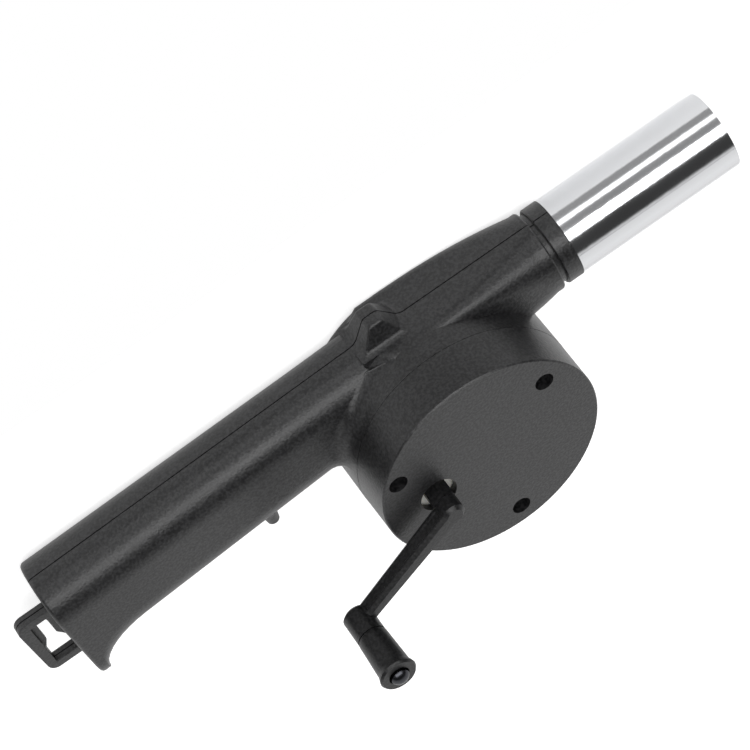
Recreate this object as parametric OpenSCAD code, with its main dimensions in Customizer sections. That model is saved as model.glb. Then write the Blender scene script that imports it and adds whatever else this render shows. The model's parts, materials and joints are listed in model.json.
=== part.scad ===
// Hand-crank fire blower: a clamshell body with a hollow grip, a geared crank, a fan in a scroll
// and a steel nozzle. It lies on its intake side. X runs from the grip to the nozzle, Y from the
// hanging side of the drum to the barrel side, and Z from the rest plane to the crank.
// The origin is on the fan axis in the rest plane. Heights named here count from the seam plane.

/* [Drum] */
// Radius of the drum that holds the fan and the gears
drum_r = 36.2; // [35.5:0.1:40]
// Distance from the seam plane to the intake face
half_w = 13.1; // [13:0.1:15]
// Height of the drum rim above the seam plane, where the gear cover starts
rim_h = 19.2; // [19:0.1:22]
// Wall of both housing halves
wall = 2.2; // [1.8:0.1:2.6]
// Rounding of the edge round the intake face
edge_round = 3.5; // [1:0.1:5]
// Height of the underside of the deck between fan and gears
deck_h = 11; // [10.8:0.1:12]
// Thickness of that deck
deck_t = 2.2; // [1.8:0.1:2.6]

/* [Gear cover] */
// Depth of the gear cover from its parting line to its face
cover_h = 15; // [14.5:0.1:20]
// Wall of the gear cover
cover_wall = 2.4; // [1.8:0.1:2.8]
// Radius that the cover loses from its parting line to its face
cover_draft = 0.25; // [0:0.05:0.8]
// Distance from the outside of the drum in to the circle of the three cover screws
screw_inset = 6.7; // [6.4:0.1:7.4]
// Direction of the first cover screw
screw_turn = 31; // [28:1:34]
// Shift of the screw circle from the drum axis along X
screw_shift_x = -1.7; // [-1.8:0.1:-1]
// Shift of the screw circle from the drum axis along Y
screw_shift_y = 0.7; // [0:0.1:1]
// Radius of the sunk holes for the cover screws
sunk_r = 3; // [2.6:0.1:3.2]

/* [Grip] */
// Distance from the drum axis to the butt of the grip
grip_len = 129.5; // [110:0.5:160]
// Height of the grip section at the butt, without the flare
butt_h = 36.6; // [34:0.1:42]
// Height of the grip section where it meets the drum
neck_h = 32.9; // [30:0.1:36]
// Width of the grip across the seam at the butt
butt_w = 25.4; // [24:0.1:26]
// Width of the grip across the seam at the drum
neck_w = 23.8; // [23:0.1:25]
// How far the top line of the grip falls from the drum to the butt
butt_drop = 4; // [0:0.1:6]
// Lean of the butt face, in degrees
butt_lean = 1.7; // [0:0.1:4]
// Corner radius of the grip section
grip_corner = 11.4; // [8:0.1:11.8]
// Length of the hollow curve of the flared heel
flare_len = 18; // [12:0.5:24]
// How far the heel reaches below the grip
flare_h = 10.5; // [6:0.5:14]
// Thickness of the tip of the heel
heel_t = 3.2; // [2.6:0.1:6]
// Rounding of the butt edge
butt_round = 1.3; // [0.4:0.1:1.5]
// Radius of the hollow between the grip and the drum
blend_r = 6.5; // [3:0.1:7]

/* [Hang loop] */
// How far the hang loop stands out of the butt
loop_out = 11.5; // [8:0.1:16]
// Width of the hang loop
loop_w = 25.6; // [20:0.1:28]
// Thickness of the hang loop
loop_t = 4; // [3:0.1:6]
// Bar width of the hang loop
loop_bar = 3.1; // [2.4:0.1:4]
// Width of the narrow end of the keyhole in the intake-side half
keyhole_w = 3.5; // [2.5:0.1:4]
// How far the loop hangs below the middle of the butt
loop_low = 8.4; // [5:0.1:9]

/* [Barrel and nozzle] */
// Distance from the drum axis to the end of the barrel
barrel_len = 46; // [42:0.5:60]
// Radius of the round end of the barrel
barrel_r = 13; // [12.9:0.1:13]
// Width of the groove behind the collar
groove_w = 1.6; // [1:0.1:3]
// Depth of that groove below the collar
groove_d = 1; // [0.6:0.1:1.2]
// Width of the collar that the tube butts against
collar_w = 5.2; // [3:0.1:10]
// Outside radius of the steel tube
tube_r = 12.5; // [12.3:0.1:12.8]
// Wall of the steel tube
tube_wall = 0.5; // [0.3:0.05:0.8]
// Length of the steel tube
tube_len = 55.7; // [40:0.5:90]
// Length of the spigot that the tube is pushed onto
spigot_len = 14; // [8:0.5:20]

/* [Lug] */
// Centre of the screw lug along X
lug_x = -6.8; // [-9:0.1:-5]
// Length of the lug at its foot
lug_foot = 15.3; // [14:0.1:18]
// Length of the lug at its top
lug_top = 4.6; // [4:0.1:8]
// Height of the lug above the barrel band
lug_h = 7.4; // [7:0.1:9]
// Half width of the lug at its foot
lug_half_foot = 6.4; // [6:0.1:8]
// Half width of the lug at its top
lug_half_top = 4; // [3.8:0.1:5]

/* [Crank] */
// Radius of the hole in the cover that the crank post turns in
crank_hole_r = 5.9; // [5:0.1:6.2]
// Distance from the crank axis to the grip of the crank
throw = 44.1; // [40:0.1:60]
// Direction of the crank at rest
crank_turn = 207.7; // [180:0.1:230]
// Air between the cover face and the underside of the arm
arm_gap = 3; // [1.5:0.1:6]
// Depth of the arm at the post
arm_d = 6.5; // [5:0.1:8]
// Depth of the arm at the boss
arm_end_d = 5.6; // [4:0.1:6]
// Radius of the round end of the arm over the post
arm_r = 3.6; // [3.6:0.1:4.2]
// Half width of the arm next to that end
arm_root_r = 3.05; // [2.6:0.05:3.4]
// Half width of the arm where it meets the boss
arm_end_r = 2.3; // [1.8:0.1:2.9]
// Chamfer of the arm edges
arm_edge = 1.1; // [0.4:0.1:1.3]
// Radius of the boss at the end of the arm
boss_r = 4.6; // [4:0.1:6]
// Height of that boss
boss_h = 10; // [7:0.1:14]
// Width across the flats of the hexagonal crank post
post_af = 7; // [6:0.1:7.6]
// Length of the turning handle on the crank
handle_len = 16; // [12:0.5:30]
// Radius of that handle at the arm
handle_r = 4.7; // [4:0.1:6]
// Radius of that handle at its outer rim
handle_rim_r = 5.9; // [5:0.1:8]
// Radius of the handle pin
pin_r = 1.5; // [1.2:0.1:1.8]
// Radius of the domed head of the handle pin
pin_head_r = 2.5; // [2.2:0.1:2.8]

/* [Gears] */
// Room left between the tips of the crank gear and the rim of the cover
rim_room = 0.42; // [0.3:0.02:1]
// Room left between the tips of the crank gear and the shaft boss of the cover
boss_room = 1.24; // [0.4:0.02:2]
// Teeth of the crank gear
crank_teeth = 34; // [32:1:34]
// Teeth of the idler pinion and of the fan pinion
pinion_teeth = 12; // [12:1:13]
// Teeth of the idler wheel
idler_teeth = 30; // [28:1:30]
// Face width of the crank gear and of the idler wheel
gear_w = 4; // [3:0.1:4.2]
// Air between the two gear planes, and between them and the deck
gear_air = 0.8; // [0.5:0.1:1]
// Radius of the hub of the crank gear under the cover
hub_r = 7; // [6.4:0.1:7.4]
// Radius of the lower journal of the crank gear
journal_r = 3.5; // [3.2:0.1:3.7]
// Radius of the idler axle
axle_r = 1.25; // [1:0.05:1.5]

/* [Fan] */
// Radius of the fan shaft
shaft_r = 1.5; // [1.25:0.05:1.7]
// Room between the impeller and the scroll wall where they are closest
fan_gap = 1.9; // [1.2:0.1:3]
// Number of blades
blades = 12; // [8:1:14]
// Thickness of a blade and of the back plate
blade_t = 1.3; // [1:0.1:1.6]
// How far each blade leans back over its length
blade_sweep = 38; // [10:1:60]
// Thickness of the scroll wall
scroll_t = 1.4; // [1:0.1:1.8]
// Room between the scroll wall and the drum wall at the tongue
scroll_room = 3.7; // [3.6:0.1:4.4]
// How much the scroll radius grows each quarter turn
scroll_step = 2.2; // [1.8:0.1:2.4]
// Number of slots in the inner ring of the intake grille, half the number in the outer ring
slots = 9; // [7:1:9]
// Width of a grille slot
slot_w = 2.8; // [2:0.1:2.9]

/* [Clearances] */
// Radial clearance of a shaft in its bearing
run_gap = 0.05; // [0.03:0.01:0.08]
// Radial clearance of a pressed or seated fit
seat_gap = 0.02; // [0.01:0.01:0.04]
// Air between parts that pass or face each other
side_gap = 0.3; // [0.2:0.05:0.4]
// Tooth clearance at the pitch circle, shared by both teeth
backlash = 0.16; // [0.1:0.02:0.2]

/* [Hidden] */
$fn = 96;

black = "#2b2b2d";
nylon = "#e9e6dc";
steel = "#b9bcc0";
brass = "#c2a14d";

// Body
cut = 1;
top_proud = 0.15;
band_top = drum_r + top_proud;
barrel_y = band_top - barrel_r;
butt_x = -grip_len;
lug_back = lug_x - lug_foot / 2;
band_x = lug_back + 0.42 * lug_foot;
butt_top = band_top - butt_drop;
butt_low = butt_top - butt_h;
chamber_r = drum_r - wall;
scroll_r = chamber_r - scroll_room - scroll_t;
fan_r = scroll_r - fan_gap;
tongue_turn = 18;
neck_run = 12;
deck_top = deck_h + deck_t;
back_wall = wall + 0.2;
floor_h = -half_w + back_wall;
band_edge = 3.5;
round_power = 2.2;
round_run = barrel_len - 2.5;
corner_steps = 9;
bore_r = barrel_r - wall;
collar_x = barrel_len + groove_w;
tube_x = collar_x + collar_w;
spigot_r = tube_r - tube_wall - seat_gap;
collar_r = tube_r + 0.2;
collar_edge = 0.4;

// Gear cover
face_h = rim_h + cover_h;
ceiling_h = face_h - cover_wall;
cover_edge = 0.4;
screw_steps = [0, 119, 244.4];
screw_circle_r = drum_r - screw_inset;
lip_h = 1.5;
lip_t = 0.8;
shaft_boss_wall = 1.7;

// Gears: the crank gear fills the room from the shaft boss to the rim of the cover, and the
// idler stands where its two centre distances cross
shift = 0.3;
pressure = 20;
far_tip = chamber_r - seat_gap - lip_t - rim_room;
near_tip = shaft_r + shaft_boss_wall + boss_room;
crank_offset = (far_tip + near_tip) / 2;
gear_m = (far_tip - near_tip) / (crank_teeth + 2 - 2 * shift);
a_crank = gear_m * (crank_teeth + pinion_teeth) / 2;
a_fan = gear_m * (idler_teeth + pinion_teeth) / 2;
along = (pow(a_crank, 2) - pow(a_fan, 2) + pow(crank_offset, 2)) / (2 * crank_offset);
idler_x = along - crank_offset;
idler_y = sqrt(pow(a_crank, 2) - pow(along, 2));
low_z = deck_top + gear_air;
high_z = low_z + gear_w + gear_air;
high_top = high_z + gear_w;
pinion_over = 0.2;
to_idler = atan2(idler_y, idler_x + crank_offset);
to_fan = atan2(-idler_y, -idler_x);

// Bosses of the cover reach down to these heights
washer_t = 0.8;
film = 0.06;
hub_ring_h = high_top + washer_t + 2 * film;
axle_boss_h = high_top + pinion_over + 0.5 + 2 * film;
shaft_boss_h = low_z + gear_w + 1.2;
sunk_floor_h = high_top + 1;
boss_skin = 1.1;
ring_skin = 1.35;
hub_top = ceiling_h - 0.6;
shaft_top = shaft_boss_h + 2.6;
axle_foot = deck_h + 0.6;
axle_top = axle_boss_h + 4;
socket_floor = high_z + 2.2;
journal_floor = socket_floor - 4;

// Crank
crank_x = -crank_offset;
arm_low = face_h + arm_gap;
arm_mid = arm_low + arm_d / 2;
boss_low = arm_mid - arm_end_d / 2;
boss_top = boss_low + boss_h;
handle_low = boss_top + side_gap / 2;
handle_top = handle_low + handle_len;
recess_d = 2.5;
recess_r = pin_head_r + 0.6;
pin_head_h = 4.7;
post_foot = socket_floor + side_gap;

// Fan
dish_d = 0.7;
fan_top = deck_h - 1.4;
fan_low = floor_h + 1.7;
hub_low = floor_h + 3.1;
hub_fan_r = 5;
push_nut_t = 0.6;
shaft_washer_t = 0.4;
bush_r = 3;
bush_foot = -half_w + 0.8;
bush_top = hub_low - push_nut_t - shaft_washer_t - 3 * film;
front_bush_low = fan_top + 0.5;
flange_t = 0.6;
flange_r = 4.2;
shaft_low = bush_foot + 0.1;

// Screws
screw_r = 1.4;
pilot_r = screw_r;
head_r = 2.6;
head_t = 1.8;
cover_screw_r = 1;
cover_pilot_r = cover_screw_r;
cover_head_r = 2.3;
boss_r_in = 2;
sink_r = head_r + 0.3;
boss_wall = 1;
long_screw = 14;
short_screw = 7.5;
cover_screw_len = 0.75 * (sunk_floor_h - deck_top);
cover_head_t = 0.7 * cover_head_r;
lug_screw_up = sink_r + 0.1;
lug_seat_h = -lug_half_top;
cover_seat = 1.2;
heel_screw_in = 16;
grip_seat_h = -5.5;
drum_seat_h = floor_h + 1.2;
drum_boss_r = chamber_r - pilot_r;
drum_boss_turn = -12;
// Housing screws: place, radius of the pillar round the tip, height of the head seat, length
rear_screws = [
    [butt_x + heel_screw_in, (butt_top + butt_low) / 2 - 2, 3.4, grip_seat_h, long_screw],
    [-drum_r - neck_run, band_top - neck_h / 2, 3.4, grip_seat_h, long_screw],
    [lug_x, band_top + lug_screw_up, 0, lug_seat_h, short_screw],
    [drum_boss_r * cos(drum_boss_turn), drum_boss_r * sin(drum_boss_turn), 2.3,
        drum_seat_h, long_screw]
];

// Places of the cover screws
function cover_screw(i) = let (a = screw_turn + screw_steps[i]) [
    screw_shift_x + screw_circle_r * cos(a),
    screw_shift_y + screw_circle_r * sin(a)
];

function arc(cx, cy, r, a0, a1, n) = [
    for (i = [0 : n]) let (a = a0 + (a1 - a0) * i / n) [cx + r * cos(a), cy + r * sin(a)]
];

// Half of a rounded section in (y, z), from the top at the base height round to the bottom
function half_section(top, low, deep, rt, rb, base) = concat(
    [[top, base]],
    arc(top - rt, deep - rt, rt, 0, 90, corner_steps),
    arc(low + rb, deep - rb, rb, 90, 180, corner_steps),
    [[low, base]]
);

// Outline of the body along X: top line, bottom line, depth and corner radii
function top_y(x) = x < lug_back
    ? band_top - butt_drop * (lug_back - x) / (lug_back + grip_len)
    : band_top;
function heel(x) = let (u = 1 - (x - butt_x - heel_t) / flare_len)
    u <= 0 ? 0 : u >= 1 ? flare_h : flare_h * (1 - sqrt(1 - u * u));
function lean(x) = tan(butt_lean) * max(0, -drum_r - x) / (grip_len - drum_r);
function low_y(x) = lookup(x, [
    [butt_x, butt_low],
    [-drum_r, top_y(-drum_r) - neck_h],
    [0.5 * drum_r, barrel_y - barrel_r],
    [barrel_len, barrel_y - barrel_r]
]) - heel(x);
function deep(x) = lookup(x, [
    [butt_x, butt_w / 2],
    [-drum_r, neck_w / 2],
    [lug_back - 1, neck_w / 2],
    [band_x, barrel_r - 0.1],
    [barrel_len, barrel_r]
]);
function corner(x, start, power) = start
    + (barrel_r - 0.15 - start) * pow(min(1, max(0, x) / round_run), power);
function top_corner(x) = x > 0
    ? corner(x, band_edge, round_power)
    : lookup(x, [[butt_x, grip_corner], [lug_back - 1, grip_corner - 0.5], [band_x, band_edge]]);
function low_corner(x) = x > 0
    ? corner(x, 8, 2 * round_power)
    : lookup(x, [[butt_x, grip_corner], [-drum_r, grip_corner - 0.5], [0, 8]]);
function station(x, inset) = [
    x, top_y(x) - inset, low_y(x) + inset, deep(x) - inset,
    top_corner(x) - inset, low_corner(x) - inset
];

// Solid through a row of flat rings that all have the same number of points. Each ring starts
// at a point that sees all the others.
module ring_solid(rings) {
    n = len(rings[0]);
    m = len(rings);
    sides = [
        for (i = [0 : m - 2]) for (j = [0 : n - 1])
            let (a = i * n + j, b = i * n + (j + 1) % n, c = b + n, d = a + n)
                each [[a, d, c], [a, c, b]]
    ];
    last = (m - 1) * n;
    ends = [[for (j = [0 : n - 1]) j], [for (j = [n : -1 : 1]) last + j % n]];
    polyhedron(points = [for (r = rings) each r], faces = concat(ends, sides));
}

// Solid through a row of stations, above the seam plane, with the lean of the butt
module loft(stations, base) {
    ring_solid([for (s = stations)
        [for (p = half_section(s[1], s[2], s[3], s[4], s[5], base))
            [s[0] + lean(s[0]) * (band_top - p[0]), p[0], p[1]]]
    ]);
}

// Height of the body surface over the seam plane at a place (x, y)
function skin_z(x, y) = let (
    d = deep(x), rt = top_corner(x), rb = low_corner(x),
    over = y - top_y(x) + rt, under = low_y(x) + rb - y
) over > 0 ? d - rt + sqrt(max(0, rt * rt - over * over))
    : under > 0 ? d - rb + sqrt(max(0, rb * rb - under * under))
    : d;

// Hollow between the grip and the drum: at each level a curve that leaves the grip along X and
// reaches the drum wall along Z
module neck_blend() {
    levels = 16;
    steps = 6;
    sunk = 1.3;
    y_low = low_y(-drum_r) + 0.8;
    y_top = band_top - 1;
    full_r = min(blend_r, rim_h - neck_w / 2 - 0.6);
    ring_solid([for (i = [0 : levels]) let (
        y = y_low + (y_top - y_low) * i / levels,
        fade = min(1, sqrt((y_top - y) / 9 + 0.03), sqrt((y - y_low) / 6 + 0.03)),
        r = full_r * fade,
        x = -sqrt(pow(drum_r - 0.05, 2) - y * y),
        z = skin_z(x, y) - 0.05,
        foot = [x - r, y, skin_z(x - r, y) - 0.05]
    ) concat(
        [[x + sunk, y, z - sunk], foot - [0, 0, sunk]],
        [for (k = [0 : steps]) let (t = k / steps)
            pow(1 - t, 2) * foot + 2 * t * (1 - t) * [x, y, z] + t * t * [x, y, z + r]],
        [[x + sunk, y, z + r]]
    )]);
}

// Outside of the grip, the band over the drum and the barrel
module spine() {
    flare_steps = 9;
    flare = [for (i = [0 : flare_steps])
        butt_x + heel_t + flare_len * (1 - cos(90 * i / flare_steps))];
    neck = [-0.75 * grip_len, -drum_r - neck_run, -drum_r, -0.7 * drum_r, lug_back - 1];
    band = [for (k = [0.25, 0.5, 0.75, 1]) lug_back - 1 + k * (band_x - lug_back + 1)];
    barrel = [for (k = [0, 0.08, 0.16, 0.26, 0.36, 0.46, 0.56, 0.66, 0.75, 0.83, 0.9, 0.95, 0.99])
        k * barrel_len];
    butt = [for (a = [0, 30, 60])
        station(butt_x + butt_round * (1 - cos(a)), butt_round * (1 - sin(a)))];
    loft(concat(
        butt,
        [for (x = concat([butt_x + butt_round], flare, neck, band, barrel)) station(x, 0)],
        [station(barrel_len, 0.35)]
    ), 0);
}

// Hollow of the grip, in bays with a cross rib between them
module grip_hollow() {
    bays = 3;
    rib = 1.4;
    start = butt_x + wall;
    pitch = (-0.5 * drum_r - start) / bays;
    difference() {
        for (b = [0 : bays - 1]) {
            x0 = start + b * pitch;
            x1 = x0 + pitch - rib;
            steps = b == 0 ? 6 : 1;
            loft([for (i = [0 : steps]) station(x0 + (x1 - x0) * i / steps, wall)], -cut);
        }
        translate([0, 0, -2 * cut]) cylinder(r = drum_r, h = half_w + 3 * cut);
    }
}

// Air way from the scroll to the nozzle
module duct() {
    loft([for (k = [0.08, 0.35, 0.55, 0.7, 0.82, 0.92, 1.02])
        station(min(k, 1) * barrel_len, wall) + [max(0, k - 1) * barrel_len, 0, 0, 0, 0, 0]], -cut);
}

// Half of the turned end: groove, collar and spigot, with the bore cut later
module socket_half() {
    x_end = tube_x + spigot_len;
    translate([0, barrel_y, 0]) rotate([0, 90, 0]) rotate([0, 0, 90])
        rotate_extrude(angle = 180) polygon([
            [bore_r - 0.5, barrel_len - 3], [tube_r - groove_d, barrel_len - 3],
            [tube_r - groove_d, collar_x], [collar_r - collar_edge, collar_x],
            [collar_r, collar_x + collar_edge], [collar_r, tube_x],
            [spigot_r, tube_x], [spigot_r, x_end - 1], [spigot_r - 0.6, x_end],
            [bore_r - 0.5, x_end]
        ]);
}

module bore_cut() {
    translate([barrel_len - 1, barrel_y, 0]) rotate([0, 90, 0])
        cylinder(r = bore_r, h = groove_w + collar_w + spigot_len + 3);
}

// Half of the outline of the lug at a share f of its height, grown by g: from the middle of the
// side towards the grip, round to the middle of the side towards the barrel
function lug_outline(f, g) = let (
    back = lug_back - g + f * (lug_foot - lug_top) / 2,
    front = lug_back + lug_foot + g - f * (lug_foot - lug_top) / 2,
    w = lug_half_foot + g - f * (lug_half_foot - lug_half_top),
    soft = 0.7,
    bow = 1.5 - 1.2 * f
) concat(
    [[back, 0]],
    [for (a = [0 : 30 : 90]) [back + soft * (1 - cos(a)), w - soft * (1 - sin(a))]],
    [for (a = [0 : 30 : 90])
        [front - bow - soft * (1 - sin(a)), w - soft * (1 - cos(a))]],
    [for (k = [0.75, 0.5, 0.25, 0]) [front - bow * k * k, (w - soft) * k]]
);

// Screw lug on the band: a stubby tower with a hollow round its foot and soft top edges
module lug_half() {
    hollow = 1.6;
    soft = 0.8;
    foot = [for (a = [0 : 22.5 : 90]) [hollow * (1 - cos(a)), hollow * (1 - sin(a))]];
    top = [for (a = [0 : 30 : 90]) [lug_h - soft * (1 - sin(a)), -soft * (1 - cos(a))]];
    levels = concat([[-4, hollow]], foot, top);
    ring_solid([for (l = levels) let (f = max(0, l[0]) / lug_h)
        [for (p = lug_outline(f, l[1])) [p[0], band_top + l[0], p[1]]]]);
}

// Half plate of the hang loop, with its hole
module loop_half(keyhole) {
    middle = (butt_top + butt_low) / 2 - loop_low;
    top = middle + loop_w / 2;
    low = middle - loop_w / 2;
    out = butt_x - loop_out;
    r = 3.2;
    slant = 0.8;
    inner = butt_x - 0.4;
    hole_x = out + loop_bar + 0.8;
    hole_low = low + loop_bar;
    hole_top = top - loop_bar;
    wide_top = hole_low + 5.5;
    slot_low = wide_top + 3.6;
    mid_x = (hole_x + inner) / 2 - 0.2;
    linear_extrude(loop_t / 2) difference() {
        polygon(concat(
            [[butt_x + wall + 1, top]],
            arc(out + r, top - r, r, 90, 180, 6),
            arc(out + slant + r, low + r, r, 180, 270, 6),
            [[butt_x + wall + 1, low]]
        ));
        if (keyhole)
            polygon(concat(
                [[inner, hole_low], [inner, wide_top], [mid_x + keyhole_w / 2, slot_low]],
                arc(mid_x, hole_top - 3.5, keyhole_w / 2, 0, 180, 8),
                [[mid_x - keyhole_w / 2, slot_low], [hole_x, wide_top], [hole_x, hole_low]]
            ));
        else
            translate([hole_x, hole_low]) square([inner - hole_x, hole_top - hole_low]);
    }
}

// Scroll wall: three quarter arcs that grow, each tangent to the one before, and a tongue
module scroll(h) {
    t = scroll_t;
    starts = [tongue_turn, -90, -180];
    centres = [[0, -scroll_step], [0, 0], [scroll_step, 0]];
    for (q = [0 : 2]) {
        r = scroll_r + q * scroll_step;
        turn = q == 0 ? tongue_turn + 90 : 90;
        translate(centres[q]) rotate([0, 0, starts[q] - turn])
            rotate_extrude(angle = turn) translate([r, 0]) square([t, h]);
    }
    tip = centres[0] + (scroll_r + t / 2) * [cos(tongue_turn), sin(tongue_turn)];
    floor_y = barrel_y - barrel_r + wall / 2;
    heel_x = sqrt(pow(chamber_r, 2) - pow(floor_y, 2)) + 0.5;
    linear_extrude(h) polygon([
        tip - [t / 2, 0], [heel_x - t, floor_y + 0.6], [heel_x + t, floor_y], tip + [t / 2, -2]
    ]);
}

// Body shared by both halves: outside, grip hollow and air way
module body_shell() {
    difference() {
        spine();
        grip_hollow();
    }
}

module crank_side_housing() {
    color(black) translate([0, 0, half_w]) {
        difference() {
            union() {
                body_shell();
                cylinder(r = drum_r, h = rim_h);
                socket_half();
                lug_half();
                neck_blend();
                loop_half(false);
                grip_stub();
            }
            translate([0, 0, -cut]) cylinder(r = chamber_r, h = deck_h + cut);
            translate([0, 0, deck_top]) cylinder(r = chamber_r, h = rim_h);
            duct();
            bore_cut();
            translate([0, 0, deck_h - cut]) cylinder(r = bush_r + seat_gap, h = deck_t + 2 * cut);
            translate([idler_x, idler_y, axle_foot]) cylinder(r = axle_r + seat_gap, h = deck_t);
            for (s = [0 : 3]) pilot_hole(s);
        }
        difference() {
            union() {
                scroll(deck_h + 0.2);
                for (s = [0, 1, 3]) front_boss(s);
            }
            duct();
            for (s = [0 : 3]) pilot_hole(s);
        }
        deck_works();
    }
}

// Stub under the grip, on the crank side
module grip_stub() {
    x = -0.475 * grip_len;
    z = 7;
    base = low_y(x) + 6;
    out = 7.1;
    translate([x, base, z]) rotate([90, 0, 0]) cylinder(r1 = 2.9, r2 = 2, h = out);
}

// Screw pillar of the crank-side half, from the seam to the inside of the wall
module front_boss(s) {
    p = rear_screws[s];
    h = s == 3 ? deck_h + 0.2 : deep(p[0]) - wall / 2;
    translate([p[0], p[1], 0]) cylinder(r = p[2], h = h);
}

// Blind hole that the tip of a housing screw bites into
module pilot_hole(s) {
    p = rear_screws[s];
    translate([p[0], p[1], -cut]) cylinder(r = pilot_r, h = p[3] + p[4] + 0.6 + cut);
}

// What stands on the gear side of the deck
module deck_works() {
    ring_top = journal_floor;
    translate([crank_x, 0, deck_top - 0.1]) difference() {
        cylinder(r = journal_r + run_gap + ring_skin, h = ring_top - deck_top + 0.1);
        cylinder(r = journal_r + run_gap, h = cover_h);
    }
    for (i = [0 : 2]) {
        p = cover_screw(i);
        translate([p[0], p[1], deck_top - 0.1]) difference() {
            cylinder(r = boss_r_in, h = sunk_floor_h - deck_top + 0.1);
            translate([0, 0, 1]) cylinder(r = cover_pilot_r, h = cover_h);
        }
    }
}

module intake_side_housing() {
    color(black) translate([0, 0, half_w]) {
        difference() {
            union() {
                mirror([0, 0, 1]) {
                    body_shell();
                    socket_half();
                    lug_half();
                    loop_half(true);
                }
                drum_back();
            }
            translate([0, 0, floor_h]) cylinder(r = chamber_r, h = half_w + cut);
            mirror([0, 0, 1]) duct();
            mirror([0, 0, 1]) bore_cut();
            grille();
            for (s = [0 : 3]) rear_screw_hole(s);
        }
        difference() {
            union() {
                translate([0, 0, floor_h - 0.1]) scroll(-floor_h + 0.1);
                for (s = [0, 1, 3]) rear_boss(s);
            }
            mirror([0, 0, 1]) duct();
            for (s = [0 : 3]) rear_screw_hole(s);
        }
        difference() {
            translate([0, 0, floor_h - 0.1])
                cylinder(r = bush_r + seat_gap + 2, h = bush_top - floor_h - 0.4);
            translate([0, 0, bush_foot]) cylinder(r = bush_r + seat_gap, h = half_w);
        }
    }
}

// Drum back with its rounded edge
module drum_back() {
    rotate_extrude() polygon(concat(
        [[0, 0], [0, -half_w]],
        arc(drum_r - edge_round, edge_round - half_w, edge_round, -90, 0, 7),
        [[drum_r, 0]]
    ));
}

// Two rings of slots through the drum back, in a shallow dish
module grille() {
    r0 = bush_r + 5;
    slot_l = 7.6;
    for (ring = [0, 1]) {
        count = slots * (ring + 1);
        for (i = [0 : count - 1])
            rotate([0, 0, 360 * i / count])
                translate([r0 + ring * (slot_l + 2), 0, -half_w - cut])
                    linear_extrude(back_wall + 2 * cut) {
                        translate([slot_w / 2, 0]) circle(d = slot_w, $fn = 24);
                        translate([slot_w / 2, -slot_w / 2]) square([slot_l - slot_w, slot_w]);
                        translate([slot_l - slot_w / 2, 0]) circle(d = slot_w, $fn = 24);
                    }
    }
    rotate_extrude() polygon([
        [r0 - 2, -half_w - cut], [r0 + 2 * slot_l + 3.4, -half_w - cut],
        [r0 + 2 * slot_l + 3.4, dish_d - half_w], [r0 - 2, dish_d - half_w]
    ]);
    translate([0, 0, bush_foot]) cylinder(r = bush_r + seat_gap, h = half_w);
}

// Pillar of the intake-side half: wide round the head seat, slim above it in the drum
module rear_boss(s) {
    p = rear_screws[s];
    wide_top = s == 3 ? p[3] + boss_wall : 0;
    low = s == 3 ? floor_h - 0.1 : -deep(p[0]) + wall / 2;
    translate([p[0], p[1], low]) {
        cylinder(r = sink_r + boss_wall, h = wide_top - low);
        cylinder(r = p[2], h = -low);
    }
}

// Clear hole and sunk head seat of a housing screw
module rear_screw_hole(s) {
    p = rear_screws[s];
    translate([p[0], p[1], -half_w - cut]) {
        cylinder(r = screw_r + 0.2, h = half_w + 2 * cut);
        cylinder(r = sink_r, h = p[3] + half_w + cut);
    }
}

module gear_cover() {
    color(black) translate([0, 0, half_w]) difference() {
        union() {
            difference() {
                cover_skin();
                translate([0, 0, rim_h - cut])
                    cylinder(r = drum_r - cover_wall, h = ceiling_h - rim_h + cut);
            }
            cover_lip();
            for (i = [0 : 2]) at_screw(i) cylinder(r = sunk_r + boss_skin, h = face_h - sunk_floor_h - 0.5);
            translate([crank_x, 0, hub_ring_h])
                cylinder(r = hub_r + run_gap + ring_skin, h = ceiling_h - hub_ring_h + 0.2);
            translate([idler_x, idler_y, axle_boss_h])
                cylinder(r = axle_r + 1.6, h = ceiling_h - axle_boss_h + 0.2);
            translate([0, 0, shaft_boss_h])
                cylinder(r = shaft_r + shaft_boss_wall, h = ceiling_h - shaft_boss_h + 0.2);
        }
        for (i = [0 : 2]) {
            at_screw(i) translate([0, 0, cover_seat]) cylinder(r = sunk_r, h = cover_h);
            at_screw(i) translate([0, 0, -cut]) cylinder(r = cover_screw_r + 0.2, h = cover_h);
        }
        translate([crank_x, 0, hub_ring_h - cut]) cylinder(r = hub_r + run_gap, h = ceiling_h - hub_ring_h + cut);
        translate([crank_x, 0, rim_h]) cylinder(r = crank_hole_r, h = cover_h + cut);
        translate([idler_x, idler_y, axle_boss_h - cut])
            cylinder(r = axle_r + seat_gap, h = axle_top - axle_boss_h + cut + side_gap);
        translate([0, 0, shaft_boss_h - cut])
            cylinder(r = shaft_r + run_gap, h = shaft_top - shaft_boss_h + cut + side_gap);
    }
}

module at_screw(i) {
    p = cover_screw(i);
    translate([p[0], p[1], sunk_floor_h]) children();
}

// Outside of the cover: a drafted cup with a broken edge
module cover_skin() {
    rotate_extrude() polygon([
        [0, rim_h], [drum_r - 0.05, rim_h], [drum_r - cover_draft, face_h - cover_edge],
        [drum_r - cover_draft - cover_edge, face_h], [0, face_h]
    ]);
}

// Spigot of the cover inside the drum rim
module cover_lip() {
    r = chamber_r - seat_gap;
    translate([0, 0, rim_h - lip_h]) difference() {
        cylinder(r = r, h = lip_h + 0.3);
        translate([0, 0, -cut]) cylinder(r = r - lip_t, h = lip_h + 2 * cut);
        for (i = [0 : 2]) let (p = cover_screw(i))
            translate([p[0], p[1], -cut]) cylinder(r = boss_r_in + side_gap, h = lip_h + 3 * cut);
    }
}

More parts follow.
